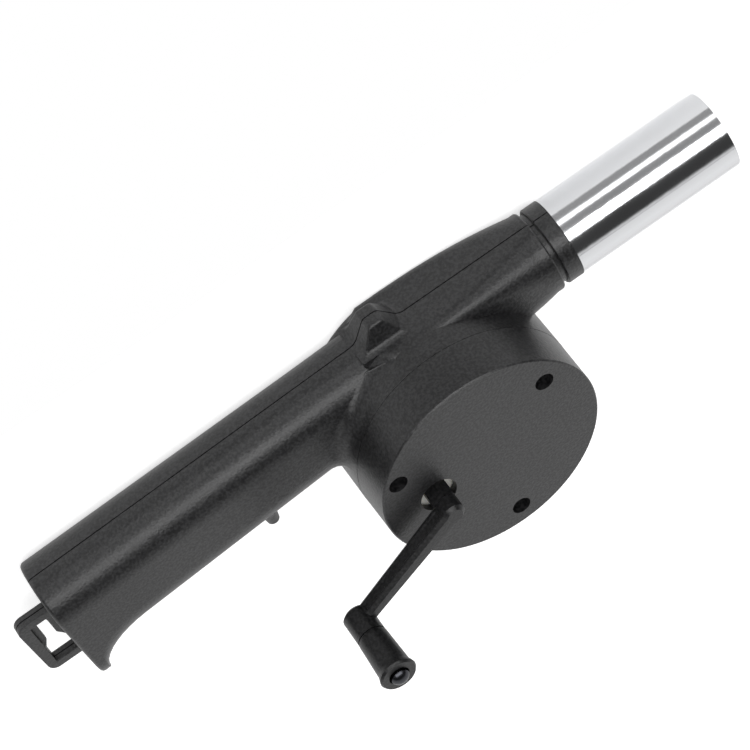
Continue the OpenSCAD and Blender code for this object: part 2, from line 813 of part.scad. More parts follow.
module nozzle_tube() {
    color(steel) translate([tube_x, barrel_y, half_w]) rotate([0, 90, 0]) difference() {
        cylinder(r = tube_r, h = tube_len);
        translate([0, 0, -cut]) cylinder(r = tube_r - tube_wall, h = tube_len + 2 * cut);
    }
}

// Pan head screw that stands on its tip along +Z
module screw(r, len, hr, ht) {
    rotate_extrude() polygon(concat(
        [[0, len], [r - 0.3, len], [r, len - 0.6], [r, 0], [hr, 0], [hr, -0.6 * ht]],
        [[0.7 * hr, -ht], [0, -ht]]
    ));
}

module housing_screws() {
    color(steel) translate([0, 0, half_w])
        for (p = rear_screws)
            translate([p[0], p[1], p[3]]) screw(screw_r - seat_gap, p[4], head_r, head_t);
}

module cover_screws() {
    color(steel) translate([0, 0, half_w])
        for (i = [0 : 2])
            at_screw(i) translate([0, 0, cover_seat]) mirror([0, 0, 1])
                screw(cover_screw_r - seat_gap, cover_screw_len, cover_head_r, cover_head_t);
}

module front_bush() {
    color(brass) translate([0, 0, half_w]) difference() {
        union() {
            translate([0, 0, front_bush_low]) cylinder(r = bush_r, h = deck_top - front_bush_low);
            translate([0, 0, deck_top]) cylinder(r = flange_r, h = flange_t);
        }
        translate([0, 0, front_bush_low - cut]) cylinder(r = shaft_r + run_gap, h = deck_t + 4 * cut);
    }
}

module rear_bush() {
    color(brass) translate([0, 0, half_w + bush_foot]) difference() {
        cylinder(r = bush_r, h = bush_top - bush_foot);
        translate([0, 0, -cut]) cylinder(r = shaft_r + run_gap, h = half_w);
    }
}

module idler_axle() {
    color(steel) translate([idler_x, idler_y, half_w + axle_foot])
        cylinder(r = axle_r, h = axle_top - axle_foot);
}

// Disc with chamfered edges, centred on its height
module soft_disc(r, h) {
    cylinder(r = r, h = h - 2 * arm_edge, center = true, $fn = 32);
    cylinder(r = r - arm_edge, h = h, center = true, $fn = 32);
}

// Round end of the arm over the post
module arm_end() {
    h = arm_d / 2 + 0.05;
    rotate_extrude() polygon([
        [0, -h], [arm_r - arm_edge, -h], [arm_r, arm_edge - h],
        [arm_r, h - arm_edge], [arm_r - arm_edge, h], [0, h]
    ]);
}

module crank_arm() {
    hand = [throw * cos(crank_turn), throw * sin(crank_turn)];
    color(black) translate([crank_x, 0, half_w]) difference() {
        union() {
            hull() {
                translate([0, 0, arm_mid]) soft_disc(arm_root_r, arm_d);
                translate([hand[0], hand[1], arm_mid]) soft_disc(arm_end_r, arm_end_d);
            }
            translate([0, 0, arm_mid]) arm_end();
            rotate([0, 0, crank_turn]) translate([0, 0, post_foot])
                cylinder(d = post_af / cos(30), h = arm_low + 0.9 - post_foot, $fn = 6);
            translate([hand[0], hand[1], boss_low]) rotate_extrude() polygon([
                [0, 0], [boss_r - 0.9, 0], [boss_r, 0.9], [boss_r, boss_h], [0, boss_h]
            ]);
        }
        translate([0, 0, post_foot - cut]) cylinder(r = cover_pilot_r + 0.1, h = 8 + cut);
        translate([hand[0], hand[1], boss_low + 1.2]) cylinder(r = pin_r + seat_gap, h = boss_h);
    }
}

module at_handle() {
    translate([crank_x + throw * cos(crank_turn), throw * sin(crank_turn), half_w]) children();
}

module handle_pin() {
    foot = boss_low + 1.4;
    seat = handle_top - recess_d + side_gap / 2;
    dome_h = 1.6;
    dome_r = (pin_head_r * pin_head_r + dome_h * dome_h) / (2 * dome_h);
    edge = asin(pin_head_r / dome_r);
    color(steel) at_handle() rotate_extrude() polygon(concat(
        [[0, foot], [pin_r, foot], [pin_r, seat], [pin_head_r, seat]],
        arc(0, seat + pin_head_h - dome_r, dome_r, 90 - edge, 90, 8)
    ));
}

// Turning handle: a taper with a flared rim and a sunk pin seat
module crank_handle() {
    flare_h = 3;
    mid_r = handle_r + 0.45 * (handle_rim_r - handle_r);
    color(black) at_handle() rotate_extrude() polygon([
        [pin_r + run_gap, handle_low], [handle_r - 0.3, handle_low], [handle_r, handle_low + 0.5],
        [mid_r, handle_top - flare_h], [handle_rim_r, handle_top - 0.8],
        [handle_rim_r - 0.5, handle_top], [recess_r + 0.2, handle_top],
        [recess_r, handle_top - recess_d], [pin_r + run_gap, handle_top - recess_d]
    ]);
}

// Involute of a circle, as the angle turned at a given pressure angle
function inv(a) = tan(a) * 180 / PI - a;
function tooth_half(r, teeth, x) = let (base = gear_m * teeth / 2 * cos(pressure))
    (PI / 2 + 2 * x * tan(pressure)) / teeth * 180 / PI
    - backlash / 2 / (gear_m * teeth / 2) * 90 / PI
    + inv(pressure) - inv(acos(min(1, base / r)));

// Outline of a spur gear with one tooth centred on +X
module gear_outline(teeth, x) {
    pitch_r = gear_m * teeth / 2;
    tip_r = pitch_r + gear_m * (1 + x);
    root_r = pitch_r - gear_m * (1.25 - x);
    base_r = pitch_r * cos(pressure);
    flank_r = max(root_r + 0.1, base_r);
    steps = 4;
    flank = [for (i = [0 : steps]) let (r = flank_r + (tip_r - flank_r) * i / steps)
        [r, tooth_half(r, teeth, x)]];
    root_half = min(tooth_half(flank_r, teeth, x) + 1.2, 180 / teeth - 0.5);
    half = concat([[root_r, root_half]], flank);
    polygon([
        for (t = [0 : teeth - 1]) let (a = 360 * t / teeth) each concat(
            [for (p = half) p[0] * [cos(a - p[1]), sin(a - p[1])]],
            [for (i = [len(half) - 1 : -1 : 0]) let (p = half[i])
                p[0] * [cos(a + p[1]), sin(a + p[1])]]
        )
    ]);
}

module crank_gear() {
    journal_low = deck_top + side_gap;
    color(nylon) translate([crank_x, 0, half_w]) difference() {
        union() {
            translate([0, 0, high_z]) rotate([0, 0, to_idler])
                linear_extrude(gear_w) gear_outline(crank_teeth, -shift);
            translate([0, 0, journal_low]) cylinder(r = journal_r, h = high_z - journal_low + 0.1);
            translate([0, 0, high_z + 0.1]) cylinder(r = hub_r, h = hub_top - high_z - 0.1);
        }
        translate([0, 0, socket_floor]) rotate([0, 0, crank_turn])
            cylinder(d = (post_af + 2 * run_gap) / cos(30), h = hub_top, $fn = 6);
        translate([0, 0, journal_low - cut]) cylinder(r = cover_head_r + 0.1, h = journal_floor - journal_low + cut);
        translate([0, 0, journal_low - cut]) cylinder(r = cover_screw_r + 0.3, h = hub_top);
    }
}

module crank_screw() {
    color(steel) translate([crank_x, 0, half_w + journal_floor])
        screw(cover_screw_r + 0.1 - seat_gap, socket_floor - journal_floor + 7, cover_head_r - 0.1, 1.5);
}

module crank_washer() {
    color(nylon) translate([crank_x, 0, half_w + high_top + film]) difference() {
        cylinder(r = hub_r + 2.2, h = washer_t);
        translate([0, 0, -cut]) cylinder(r = hub_r + run_gap, h = washer_t + 2 * cut);
    }
}

module idler_gear() {
    pinion_top = high_top + pinion_over;
    color(nylon) translate([idler_x, idler_y, half_w]) difference() {
        union() {
            translate([0, 0, low_z]) rotate([0, 0, to_fan])
                linear_extrude(gear_w) gear_outline(idler_teeth, -shift);
            translate([0, 0, low_z + gear_w - 0.1])
                rotate([0, 0, to_idler + 180 + 180 / pinion_teeth])
                    linear_extrude(pinion_top - low_z - gear_w + 0.1)
                        gear_outline(pinion_teeth, shift);
            translate([0, 0, deck_top + side_gap]) cylinder(r = axle_r + 1.4, h = gear_w);
        }
        translate([0, 0, deck_top]) cylinder(r = axle_r + run_gap, h = cover_h);
    }
}

module idler_washer() {
    color(steel) translate([idler_x, idler_y, half_w + high_top + pinion_over + film])
        difference() {
            cylinder(r = axle_r + 1.6, h = 0.5);
            translate([0, 0, -cut]) cylinder(r = axle_r + run_gap, h = 0.5 + 2 * cut);
        }
}

module fan_pinion() {
    color(brass) translate([0, 0, half_w + low_z]) difference() {
        rotate([0, 0, to_fan + 180 + 180 / pinion_teeth])
            linear_extrude(gear_w) gear_outline(pinion_teeth, shift);
        translate([0, 0, -cut]) cylinder(r = shaft_r + seat_gap, h = gear_w + 2 * cut);
    }
}

module fan_shaft() {
    color(steel) translate([0, 0, half_w + shaft_low]) cylinder(r = shaft_r, h = shaft_top - shaft_low);
}

// Blade from the hub to the rim, leaning back against the turn
module blade() {
    steps = 8;
    r0 = hub_fan_r - 1;
    function at(i) = let (r = r0 + (fan_r - r0) * i / steps) [r, blade_sweep * i / steps];
    linear_extrude(fan_top - fan_low - blade_t / 2) polygon(concat(
        [for (i = [0 : steps]) let (p = at(i), w = blade_t / 2 / p[0] * 180 / PI)
            p[0] * [cos(p[1] - w), sin(p[1] - w)]],
        [for (i = [steps : -1 : 0]) let (p = at(i), w = blade_t / 2 / p[0] * 180 / PI)
            p[0] * [cos(p[1] + w), sin(p[1] + w)]]
    ));
}

module impeller() {
    color(black) translate([0, 0, half_w]) difference() {
        union() {
            translate([0, 0, fan_top - blade_t]) cylinder(r = fan_r, h = blade_t);
            translate([0, 0, hub_low]) cylinder(r = hub_fan_r, h = fan_top - hub_low);
            intersection() {
                for (i = [0 : blades - 1])
                    translate([0, 0, fan_low]) rotate([0, 0, 360 * i / blades]) blade();
                eye_cut();
            }
        }
        translate([0, 0, fan_low - cut]) cylinder(r = shaft_r + seat_gap, h = half_w + deck_h);
    }
}

// The blades rise from the hub to their full depth outside the rear bush
module eye_cut() {
    eye_r = bush_r + 6;
    rotate_extrude() polygon([
        [0, hub_low], [hub_fan_r, hub_low], [eye_r, fan_low - cut], [fan_r, fan_low - cut],
        [fan_r, fan_top], [0, fan_top]
    ]);
}

module impeller_push_nut() {
    color(steel) translate([0, 0, half_w + hub_low - push_nut_t - film]) difference() {
        cylinder(r = 3.4, h = push_nut_t);
        translate([0, 0, -cut]) cylinder(r = shaft_r + seat_gap, h = push_nut_t + 2 * cut);
    }
}

module shaft_washer() {
    color(nylon) translate([0, 0, half_w + bush_top + film]) difference() {
        cylinder(r = bush_r - 0.2, h = shaft_washer_t);
        translate([0, 0, -cut]) cylinder(r = shaft_r + seat_gap, h = shaft_washer_t + 2 * cut);
    }
}

crank_side_housing();
intake_side_housing();
gear_cover();
nozzle_tube();
housing_screws();
cover_screws();
front_bush();
rear_bush();
idler_axle();
crank_arm();
crank_gear();
crank_screw();
crank_washer();
handle_pin();
crank_handle();
idler_gear();
idler_washer();
fan_pinion();
fan_shaft();
impeller();
impeller_push_nut();
shaft_washer();
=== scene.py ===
# %% [markdown]
# # A hand-crank fire blower
# This lesson dresses the finished construction of a small fire blower: a black moulded body in two
# halves, a gear cover, a hand crank and a polished steel blast tube. The construction comes in with
# every piece in its place. What is left to do is what a camera sees: smooth moulded skins, joint
# lines, broken edges, screw recesses, honest materials, and the light of a product photograph.

import json
import math

import bmesh
import bpy
from mathutils import Matrix, Vector
from mathutils.bvhtree import BVHTree


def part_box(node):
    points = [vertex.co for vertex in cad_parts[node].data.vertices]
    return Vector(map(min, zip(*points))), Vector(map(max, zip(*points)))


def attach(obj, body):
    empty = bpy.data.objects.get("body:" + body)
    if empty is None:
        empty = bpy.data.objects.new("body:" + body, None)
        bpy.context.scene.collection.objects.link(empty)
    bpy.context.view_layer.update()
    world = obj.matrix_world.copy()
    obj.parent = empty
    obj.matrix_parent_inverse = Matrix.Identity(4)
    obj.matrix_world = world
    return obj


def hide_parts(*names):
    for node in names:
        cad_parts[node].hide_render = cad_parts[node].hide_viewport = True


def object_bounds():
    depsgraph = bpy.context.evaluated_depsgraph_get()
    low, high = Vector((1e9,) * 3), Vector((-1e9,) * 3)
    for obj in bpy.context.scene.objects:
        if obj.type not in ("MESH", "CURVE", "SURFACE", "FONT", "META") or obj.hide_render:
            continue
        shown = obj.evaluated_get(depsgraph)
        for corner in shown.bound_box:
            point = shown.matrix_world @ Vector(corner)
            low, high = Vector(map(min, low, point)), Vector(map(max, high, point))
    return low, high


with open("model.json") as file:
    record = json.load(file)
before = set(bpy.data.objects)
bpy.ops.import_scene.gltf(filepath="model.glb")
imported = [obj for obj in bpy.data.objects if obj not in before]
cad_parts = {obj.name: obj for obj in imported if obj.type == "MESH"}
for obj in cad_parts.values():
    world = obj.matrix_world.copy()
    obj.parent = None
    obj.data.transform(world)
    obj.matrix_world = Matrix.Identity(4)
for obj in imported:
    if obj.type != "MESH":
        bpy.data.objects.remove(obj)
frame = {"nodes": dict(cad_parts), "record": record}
nodes = frame["nodes"]
cad_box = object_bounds()
print("loaded", len(nodes), "pieces")

# %% [markdown]
# ## Two helpers for materials
# Colours are written as hex values, the way a colour picker shows them, and Cycles wants them
# linear. One function turns them. One more function adds a shader node, sets its values and links
# its inputs, so that each material below reads like a list.

# %% Colour and node helpers
MM = 0.001


def hex_colour(code):
    """A picked hex colour as linear red, green, blue and alpha."""
    channels = [int(code[i:i + 2], 16) / 255 for i in (1, 3, 5)]
    linear = [c / 12.92 if c <= 0.04045 else ((c + 0.055) / 1.055) ** 2.4 for c in channels]
    return (*linear, 1.0)


def add(tree, kind, values=None, links=None):
    """Add a node, set its attributes or sockets from values, and link its inputs."""
    new = tree.nodes.new(kind)
    for key, value in (values or {}).items():
        if isinstance(key, str) and hasattr(new, key):
            setattr(new, key, value)
        else:
            new.inputs[key].default_value = value
    for key, source in (links or {}).items():
        tree.links.new(source, new.inputs[key])
    return new


def start_material(name):
    """An empty material with its output and its object coordinates."""
    material = bpy.data.materials.new(name)
    material.use_nodes = True
    tree = material.node_tree
    tree.nodes.clear()
    output = add(tree, "ShaderNodeOutputMaterial")
    place = add(tree, "ShaderNodeTexCoord").outputs["Object"]
    return material, tree, output, place


# %% [markdown]
# ## Black ABS, moulded with a fine satin grain
# The body is ABS from a mould with a spark-eroded texture. Its own colour is close to black, and
# what the eye reads as dark grey is the soft shine on that grain. The shine breaks up a little, in
# patches as wide as a thumb, where a hand or the mould has polished it. The grain could be pushed
# into the mesh, but that takes millions of faces. A noise on the object's own coordinates that
# only bends the normals needs none, and no unwrapping either. The real grain is about 0.1 mm, too
# fine to show from here, so it is drawn 0.8 mm coarse, and its worn peaks are a little lighter
# than the hollows. The crank comes from a smoother mould and is blacker.

# %% Moulded ABS
GRAIN_SIZE, PATCH_SIZE = 0.8 * MM, 28.6 * MM
HAZE_RANGE = 0.04


def moulded_abs(name, hollow_colour, peak_colour, roughness, grain_depth_mm, ior):
    """Black plastic with a bumpy grain whose peaks are lighter than its hollows."""
    material, tree, output, place = start_material(name)
    patches = add(tree, "ShaderNodeTexNoise", {"Scale": 1 / PATCH_SIZE, "Detail": 3.0},
                  {"Vector": place})
    grain = add(tree, "ShaderNodeTexNoise",
                {"Scale": 1 / GRAIN_SIZE, "Detail": 2.0, "Roughness": 0.6},
                {"Vector": place})
    peaks = add(tree, "ShaderNodeMapRange", {"From Min": 0.4, "From Max": 0.62},
                {"Value": grain.outputs["Fac"]})
    tone = add(tree, "ShaderNodeMix",
               {"data_type": "RGBA", 6: hex_colour(hollow_colour), 7: hex_colour(peak_colour)},
               {0: peaks.outputs["Result"]})
    gloss = add(tree, "ShaderNodeMapRange",
                {"From Min": 0.3, "From Max": 0.7, "To Min": roughness - HAZE_RANGE,
                 "To Max": roughness + HAZE_RANGE}, {"Value": patches.outputs["Fac"]})
    bump = add(tree, "ShaderNodeBump", {"Strength": 0.5, "Distance": grain_depth_mm * MM},
               {"Height": grain.outputs["Fac"]})
    skin = add(tree, "ShaderNodeBsdfPrincipled", {"IOR": ior},
               {"Base Color": tone.outputs[2], "Roughness": gloss.outputs["Result"],
                "Normal": bump.outputs["Normal"]})
    tree.links.new(skin.outputs["BSDF"], output.inputs["Surface"])
    return material


satin_abs = moulded_abs("moulded_black_abs", "#0f0f10", "#2c2c2d", 0.37, 0.2, 1.54)
gloss_abs = moulded_abs("smooth_black_abs", "#0c0c0d", "#222223", 0.34, 0.16, 1.46)
print("made", satin_abs.name, "and", gloss_abs.name)

# %% [markdown]
# ## Metals
# The blast tube is stainless sheet, rolled round and polished, so it is nearly a mirror. The
# polishing belt leaves very fine rings round it, and thin sheet is never quite even, so the
# reflections waver a little. The screws are zinc plated, the crank's pin is blackened steel, and
# bushes and pinion are turned brass. A metal's colour is all in its shine, so each is a metallic
# shader with its own haze. An anisotropic shader could stand for the rings, but it only blurs. A
# bump from a noise that is squeezed along the axis and long the other ways draws real rings, and a
# second bump adds the waver.

# %% Metal finishes
HAZE_SIZE, WAVER_WIDTH = 16.7 * MM, 1.8 * MM
RING_WIDTH, RING_RUN, RING_DEPTH = 0.12 * MM, 333 * MM, 0.0006 * MM


def metal(name, colour, roughness, ring_axis=None, waver_depth_mm=0):
    """A metal with a cloudy haze and, if asked, turned rings round an axis and uneven sheet."""
    material, tree, output, place = start_material(name)
    haze = add(tree, "ShaderNodeTexNoise", {"Scale": 1 / HAZE_SIZE, "Detail": 4.0},
               {"Vector": place})
    gloss = add(tree, "ShaderNodeMapRange",
                {"From Min": 0.3, "From Max": 0.7, "To Min": roughness * 0.85,
                 "To Max": roughness * 1.2}, {"Value": haze.outputs["Fac"]})
    skin = add(tree, "ShaderNodeBsdfPrincipled",
               {"Base Color": hex_colour(colour), "Metallic": 1.0},
               {"Roughness": gloss.outputs["Result"]})
    if ring_axis is not None:
        stretch = [1 / RING_WIDTH if i == ring_axis else 1 / RING_RUN for i in range(3)]
        mapped = add(tree, "ShaderNodeMapping", {"Scale": stretch}, {"Vector": place})
        rings = add(tree, "ShaderNodeTexNoise", {"Scale": 1.0, "Detail": 1.0},
                    {"Vector": mapped.outputs["Vector"]})
        bump = add(tree, "ShaderNodeBump", {"Strength": 0.2, "Distance": RING_DEPTH},
                   {"Height": rings.outputs["Fac"]})
        if waver_depth_mm:
            waver = add(tree, "ShaderNodeTexNoise", {"Scale": 1 / WAVER_WIDTH, "Detail": 3.0},
                        {"Vector": place})
            bump = add(tree, "ShaderNodeBump",
                       {"Strength": 0.6, "Distance": waver_depth_mm * MM},
                       {"Height": waver.outputs["Fac"], "Normal": bump.outputs["Normal"]})
        tree.links.new(bump.outputs["Normal"], skin.inputs["Normal"])
    tree.links.new(skin.outputs["BSDF"], output.inputs["Surface"])
    return material


polished_stainless = metal("polished_stainless_steel", "#dadbdd", 0.13, 0, 0.035)
zinc_steel = metal("zinc_plated_steel", "#b4b6bb", 0.3)
black_steel = metal("blackened_steel", "#434448", 0.27)
bright_steel = metal("ground_steel", "#a9abaf", 0.22)
turned_brass = metal("turned_brass", "#c8a65a", 0.24, 2)
print("made", polished_stainless.name, "and four more metals")

# %% [markdown]
# ## Natural nylon
# The gears are nylon without a colour added: a milky off-white that lets a little light in and
# glows at thin edges. A plain white shader would look like paint. Subsurface scattering of a
# millimetre or two gives that depth, and faint clouds 11 mm wide keep the white from being even.

# %% Nylon
CLOUD_SIZE = 11.1 * MM


def natural_nylon():
    """Milky white plastic that lets a little light in."""
    material, tree, output, place = start_material("natural_nylon")
    clouds = add(tree, "ShaderNodeTexNoise", {"Scale": 1 / CLOUD_SIZE, "Detail": 2.0},
                 {"Vector": place})
    tone = add(tree, "ShaderNodeMix",
               {"data_type": "RGBA", 6: hex_colour("#f0efea"), 7: hex_colour("#e8e6df")},
               {0: clouds.outputs["Fac"]})
    skin = add(tree, "ShaderNodeBsdfPrincipled",
               {"IOR": 1.53, "Roughness": 0.45, "Subsurface Weight": 0.1,
                "Subsurface Radius": (0.002, 0.0016, 0.001)},
               {"Base Color": tone.outputs[2]})
    tree.links.new(skin.outputs["BSDF"], output.inputs["Surface"])
    return material


white_nylon = natural_nylon()
print("made", white_nylon.name)

# %% [markdown]
# ## Which finish each piece has
# Inside the housing and through the crank hole the construction's own pieces show, and their shape
# is right as it is, so they only get their finish. The pieces made further down take theirs from
# the same list, so that a piece and what it stands for never differ.

# %% Finishes
FINISH = {
    "crank_side_housing": satin_abs, "intake_side_housing": satin_abs, "gear_cover": satin_abs,
    "nozzle_tube": polished_stainless, "housing_screws": zinc_steel, "cover_screws": zinc_steel,
    "front_bush": turned_brass, "rear_bush": turned_brass, "idler_axle": bright_steel,
    "crank_arm": gloss_abs, "crank_gear": white_nylon, "crank_screw": zinc_steel,
    "crank_washer": white_nylon, "handle_pin": black_steel, "crank_handle": gloss_abs,
    "idler_gear": white_nylon, "idler_washer": zinc_steel, "fan_pinion": turned_brass,
    "fan_shaft": bright_steel, "impeller": satin_abs, "impeller_push_nut": zinc_steel,
    "shaft_washer": white_nylon,
}
BODY = {n: b for b, group in frame["record"]["behaviour"]["bodies"].items() for n in group}
for name, node in nodes.items():
    node.data.materials.clear()
    node.data.materials.append(FINISH[name])
print("gave a finish to", len(nodes), "pieces")

# %% [markdown]
# ## The camera
# The photograph was taken from the side, about 37 degrees above the floor that the blower lies on,
# with a long lens, and the blower lies across the picture from the lower left to the upper right.
# A camera could be aimed by hand until it looks right. This one's place and turn were worked out
# from the tube, the drum and the grip instead, because their sizes are known, and it is set by
# three directions, because it is also tilted.

# %% Camera
tube_low, tube_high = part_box("nozzle_tube")
axis_y = (tube_low.y + tube_high.y) / 2
axis_z = (tube_low.z + tube_high.z) / 2
PICTURE_RIGHT = Vector((0.8202, -0.3061, 0.4832))
PICTURE_DOWN = Vector((-0.5682, -0.5343, 0.6259))
CAMERA_PLACE = Vector((-0.07168, 0.70444, 0.53236 + axis_z))
camera_data = bpy.data.cameras.new("camera")
camera_data.sensor_width = 36.0
camera_data.lens = 144.0
camera = bpy.data.objects.new("camera", camera_data)
bpy.context.scene.collection.objects.link(camera)
forward = PICTURE_RIGHT.cross(PICTURE_DOWN).normalized()
turn = Matrix((PICTURE_RIGHT, -PICTURE_DOWN, -forward)).transposed()
camera.matrix_world = Matrix.Translation(CAMERA_PLACE) @ turn.to_4x4()
bpy.context.scene.camera = camera
print("camera is", round(CAMERA_PLACE.length * 1000), "mm from the drum's axis")

# %% [markdown]
# ## Light and floor
# A photograph of a black and polished thing is made of what it reflects. Here that is a thin and a
# wide soft box on the camera's side, a dark gap overhead that gives the tube its black streak, and
# a bright wall behind that the drum's face mirrors. Walls and ceiling could be built as planes, but
# they would stand in the way of other views. The world holds them, by their angle round the tube's
# axis: 0 is level towards the camera's side, 90 is straight up.

# %% World
world = bpy.data.worlds.new("studio")
bpy.context.scene.world = world
world.use_nodes = True
tree = world.node_tree
tree.nodes.clear()
direction = add(tree, "ShaderNodeTexCoord").outputs["Generated"]
axes = add(tree, "ShaderNodeSeparateXYZ", links={"Vector": direction})
angle_up = add(tree, "ShaderNodeMath", {"operation": "ARCTAN2"},
               {0: axes.outputs["Z"], 1: axes.outputs["Y"]})
share = add(tree, "ShaderNodeMapRange", {"From Min": -math.pi, "From Max": math.pi},
            {"Value": angle_up.outputs["Value"]})
ramp = add(tree, "ShaderNodeValToRGB", links={"Fac": share.outputs["Result"]})
WALLS = [(-180, 0.95), (-60, 0.60), (-25, 0.38), (20, 0.33), (60, 0.20), (64, 0.05),
         (105, 0.05), (113, 0.90), (150, 1.05), (180, 0.95)]
stops = ramp.color_ramp.elements
for i, (angle, grey) in enumerate(WALLS):
    where = (angle + 180) / 360
    stop = stops[i] if i < 2 else stops.new(where)
    stop.position = where
    stop.color = (grey, grey, grey, 1)
rays = add(tree, "ShaderNodeLightPath")
shown = add(tree, "ShaderNodeBackground", {"Color": (1, 1, 1, 1), "Strength": 1.0})
walls = add(tree, "ShaderNodeBackground", {"Strength": 1.0}, {"Color": ramp.outputs["Color"]})
both = add(tree, "ShaderNodeMixShader", None,
           {0: rays.outputs["Is Camera Ray"], 1: walls.outputs["Background"],
            2: shown.outputs["Background"]})
add(tree, "ShaderNodeOutputWorld", None, {"Surface": both.outputs["Shader"]})
print("world with", len(WALLS), "wall stops")


# %% Soft boxes
BOX_LENGTH = 1.8
LAMP_TARGET = Vector((0, 0, 0.02))


def soft_box(name, angle_deg, distance, width, watts):
    """A long lamp over the blower, at an angle up from level on the camera's side."""
    data = bpy.data.lights.new(name, "AREA")
    data.shape = "RECTANGLE"
    data.size, data.size_y = BOX_LENGTH, width
    data.energy = watts
    lamp = bpy.data.objects.new(name, data)
    lamp.visible_camera = False
    bpy.context.scene.collection.objects.link(lamp)
    angle = math.radians(angle_deg)
    place = Vector((0, distance * math.cos(angle), distance * math.sin(angle)))
    back = (place - LAMP_TARGET).normalized()
    side = Vector((1, 0, 0))
    side = (side - back * side.dot(back)).normalized()
    lamp.matrix_world = (Matrix.Translation(place)
                         @ Matrix((side, back.cross(side), back)).transposed().to_4x4())
    print(name, "radiance", round(watts / (math.pi * width * BOX_LENGTH), 2))


soft_box("thin_soft_box", 8.0, 1.2, 0.27, 2.6)
soft_box("wide_soft_box", 49.5, 1.3, 0.56, 11.5)

# %% [markdown]
# The floor is white paper that ends a little in front of the blower. That edge shows only in the
# tube, as the grey line between the paper and the thin soft box. Seen by the camera or mirrored in
# the tube the paper glows a little, so it comes out white and still keeps its shadow.

# %% Floor
FLOOR_SIZE, FLOOR_FRONT, FLOOR_DROP = 3.0, 0.075, 0.2 * MM
CAMERA_GLOW, MIRROR_GLOW = 0.63, 0.28
floor_mesh = bpy.data.meshes.new("floor")
bm = bmesh.new()
bmesh.ops.create_grid(bm, x_segments=1, y_segments=1, size=FLOOR_SIZE, matrix=Matrix.Translation(
    (0, FLOOR_FRONT - FLOOR_SIZE, cad_box[0].z - FLOOR_DROP)))
bm.to_mesh(floor_mesh)
bm.free()
floor = bpy.data.objects.new("floor", floor_mesh)
bpy.context.scene.collection.objects.link(floor)
paper, tree, output, _ = start_material("white_paper_sweep")
lit = add(tree, "ShaderNodeBsdfDiffuse", {"Color": hex_colour("#f4f4f4")})
rays = add(tree, "ShaderNodeLightPath")
seen = add(tree, "ShaderNodeMath", {"operation": "MULTIPLY", 1: CAMERA_GLOW},
           {0: rays.outputs["Is Camera Ray"]})
mirrored = add(tree, "ShaderNodeMath", {"operation": "MULTIPLY_ADD", 1: MIRROR_GLOW},
               {0: rays.outputs["Is Glossy Ray"], 2: seen.outputs["Value"]})
glow = add(tree, "ShaderNodeEmission", {"Color": (1, 1, 1, 1)},
           {"Strength": mirrored.outputs["Value"]})
total = add(tree, "ShaderNodeAddShader", None,
            {0: lit.outputs["BSDF"], 1: glow.outputs["Emission"]})
tree.links.new(total.outputs["Shader"], output.inputs["Surface"])
floor_mesh.materials.append(paper)
print("floor ends", FLOOR_FRONT * 1000, "mm in front of the drum's axis")

# %% [markdown]
# ## Smooth moulded skins
# The construction arrives as loose flat triangles. A copy of each visible piece has its points
# welded and, on the simpler ones, its flat areas joined again. Then it is shaded smooth across
# everything but real edges. Smooth shading on thin facets beside large ones can look dented, so
# normals are weighted by the size and the corner angle of the faces. An edge is real when its two
# faces meet at 34 degrees or more. It is marked in the bmesh itself, where the faces beside each
# edge are known for certain.

# %% Welded copies
WELD, SPECK = 0.002 * MM, 0.001 * MM
FLAT_ANGLE, SHARP_ANGLE = math.radians(0.05), math.radians(34)


def welded(name, join_flat=True):
    """A copy of a node's mesh with its points welded and, if asked, its flat areas joined."""
    bm = bmesh.new()
    bm.from_mesh(nodes[name].data)
    bmesh.ops.remove_doubles(bm, verts=bm.verts, dist=WELD)
    bmesh.ops.dissolve_degenerate(bm, edges=bm.edges, dist=SPECK)
    if join_flat:
        bmesh.ops.dissolve_limit(bm, angle_limit=FLAT_ANGLE, verts=bm.verts, edges=bm.edges)
    return bm


def finish_piece(bm, name, node):
    """Turn a bmesh into a piece of the scene that stands for a node."""
    mesh = bpy.data.meshes.new(name)
    bm.normal_update()
    for face in bm.faces:
        face.smooth = True
    for edge in bm.edges:
        edge.smooth = edge.calc_face_angle(math.pi) < SHARP_ANGLE
    bm.to_mesh(mesh)
    count = len(bm.faces)
    bm.free()
    mesh.materials.append(FINISH[node])
    piece = bpy.data.objects.new(name, mesh)
    bpy.context.scene.collection.objects.link(piece)
    even = piece.modifiers.new("even_normals", "WEIGHTED_NORMAL")
    even.mode = "FACE_AREA_WITH_ANGLE"
    even.weight = 50
    even.keep_sharp = True
    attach(piece, BODY[node])
    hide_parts(node)
    print(name, "has", count, "faces")


# %% [markdown]
# ## Joint lines
# Two mouldings that meet never close perfectly: a fine shadow line runs along the joint. A boolean
# cut with a thin blade could make it, but the blade would need a path round the whole outline. The
# joint face's own outer edge has that path already. It is bevelled, and the inner side of that
# bevel is then pushed further in, so the gap is deeper than it is wide and goes dark. To find which
# edges are outside, a ray is sent straight away from the joint just beside each edge: inside the
# shell it hits the shell, outside it is free.

# %% Outside edges of a joint
ON_LEVEL = 0.003 * MM
STEP_OUT, STEP_AWAY = 0.5 * MM, 0.05 * MM
WALL_SLOPE = 0.7
JOINT_ANGLE = math.radians(40)


def wall_of(edge, level):
    """The one steep face beside a sharp edge that lies at a height, or None."""
    if len(edge.link_faces) != 2 or any(abs(v.co.z - level) > ON_LEVEL for v in edge.verts):
        return None
    walls = [face for face in edge.link_faces if abs(face.normal.z) < WALL_SLOPE]
    return walls[0] if len(walls) == 1 and edge.calc_face_angle(0) >= JOINT_ANGLE else None


